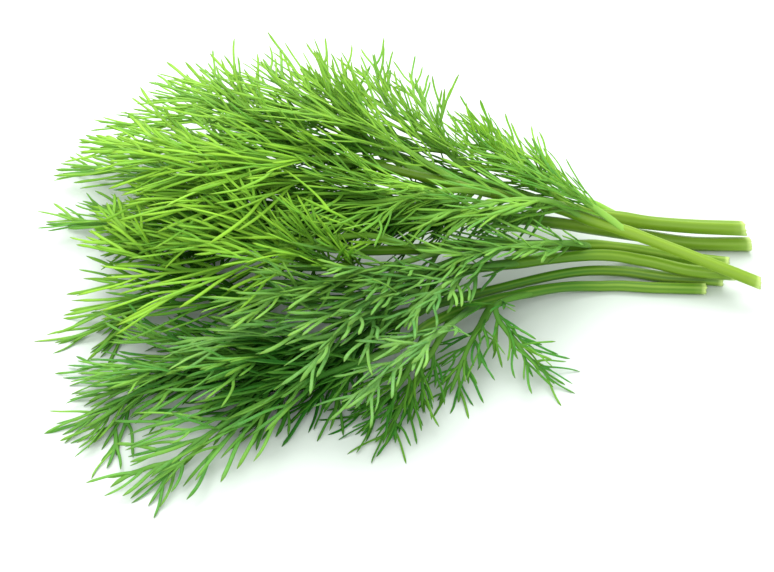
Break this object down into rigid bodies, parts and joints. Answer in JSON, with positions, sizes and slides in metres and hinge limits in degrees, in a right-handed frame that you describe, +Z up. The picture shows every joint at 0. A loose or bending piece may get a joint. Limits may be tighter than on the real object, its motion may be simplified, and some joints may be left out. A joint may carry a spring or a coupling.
{
  "type": "dill bunch",
  "caption": "Bunch of fresh dill lying on its side: cut stems at one end and feathery, finely divided fronds fanning out at the other.",
  "frame": {"origin": "on the table under the middle of the bunch's box", "axes": "+X towards the cut stem ends, -X towards the leaf tips, +Z up from the table"},
  "size_m": [0.1923, 0.1595, 0.0499],
  "materials": {
    "stem": "smooth waxy fresh green stem with fine lengthwise ribs, paler at the cut end",
    "leaf": "soft satin green leaf threads, lighter along their edges and where light passes through"
  },
  "bodies": {
    "root": {"stem_1": "stem", "stem_2": "stem", "stem_3": "stem", "stem_4": "stem", "stem_5": "stem", "stem_6": "stem", "stem_7": "stem", "frond_01": "leaf", "frond_02": "leaf", "frond_03": "leaf", "frond_04": "leaf", "frond_05": "leaf", "frond_06": "leaf", "frond_07": "leaf", "frond_08": "leaf", "frond_09": "leaf", "frond_10": "leaf", "frond_11": "leaf", "frond_12": "leaf", "frond_13": "leaf", "frond_14": "leaf", "frond_15": "leaf", "frond_16": "leaf", "frond_17": "leaf", "frond_18": "leaf", "frond_19": "leaf", "frond_20": "leaf", "frond_21": "leaf", "frond_22": "leaf", "frond_23": "leaf", "frond_24": "leaf", "frond_25": "leaf", "frond_26": "leaf", "frond_27": "leaf", "frond_28": "leaf", "frond_29": "leaf", "frond_30": "leaf", "frond_31": "leaf", "frond_32": "leaf", "frond_33": "leaf", "frond_34": "leaf", "frond_35": "leaf", "frond_36": "leaf", "frond_37": "leaf", "frond_38": "leaf"}
  },
  "joints": []
}
